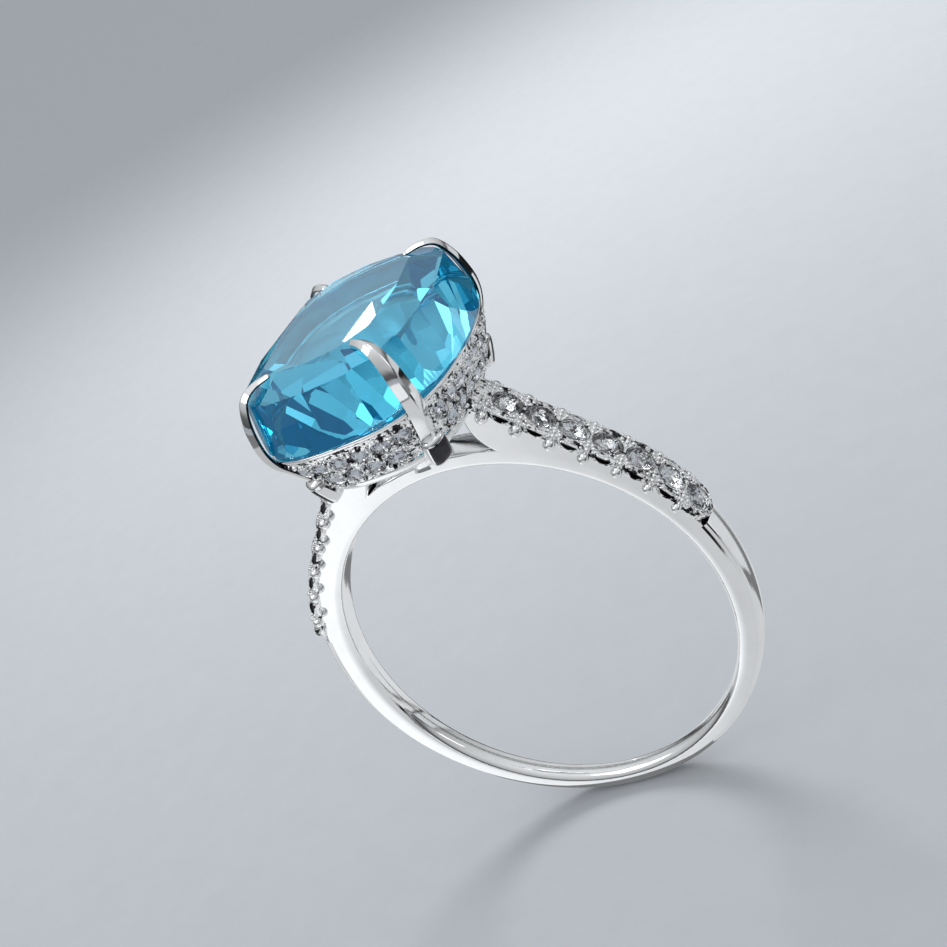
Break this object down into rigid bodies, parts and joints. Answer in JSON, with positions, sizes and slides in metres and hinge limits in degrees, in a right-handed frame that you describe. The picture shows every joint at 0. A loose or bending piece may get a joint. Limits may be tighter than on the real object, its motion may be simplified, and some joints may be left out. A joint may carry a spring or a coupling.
{
  "type": "cocktail ring",
  "caption": "Cathedral-shoulder cocktail ring: one large cushion-cut blue stone in a four-claw basket, with clear pave stones on the basket wall and both shoulders.",
  "frame": {"origin": "centre of the round finger hole, midway across the hoop's width", "axes": "+X to the right shoulder, +Y along the finger, +Z from the finger hole up through the centre stone"},
  "size_m": [0.0198, 0.011, 0.0261],
  "materials": {
    "polished_metal": "mirror-polished white rhodium plate",
    "blue_stone": "polished faceted blue gem",
    "clear_stone": "polished faceted clear gem"
  },
  "bodies": {
    "root": {"hoop": "polished_metal", "right_shoulder": "polished_metal", "left_shoulder": "polished_metal", "right_pave_deck": "polished_metal", "left_pave_deck": "polished_metal", "right_front_prongs": "polished_metal", "right_back_prongs": "polished_metal", "left_front_prongs": "polished_metal", "left_back_prongs": "polished_metal", "basket_base": "polished_metal", "lower_rail": "polished_metal", "gallery_wall": "polished_metal", "upper_rail": "polished_metal", "claw_front_right": "polished_metal", "claw_front_left": "polished_metal", "claw_back_right": "polished_metal", "claw_back_left": "polished_metal", "center_stone": "blue_stone", "gallery_stones_right": "clear_stone", "gallery_stones_back": "clear_stone", "gallery_stones_left": "clear_stone", "gallery_stones_front": "clear_stone", "right_stone_1": "clear_stone", "right_stone_2": "clear_stone", "right_stone_3": "clear_stone", "right_stone_4": "clear_stone", "right_stone_5": "clear_stone", "right_stone_6": "clear_stone", "right_stone_7": "clear_stone", "left_stone_1": "clear_stone", "left_stone_2": "clear_stone", "left_stone_3": "clear_stone", "left_stone_4": "clear_stone", "left_stone_5": "clear_stone", "left_stone_6": "clear_stone", "left_stone_7": "clear_stone"}
  },
  "joints": []
}
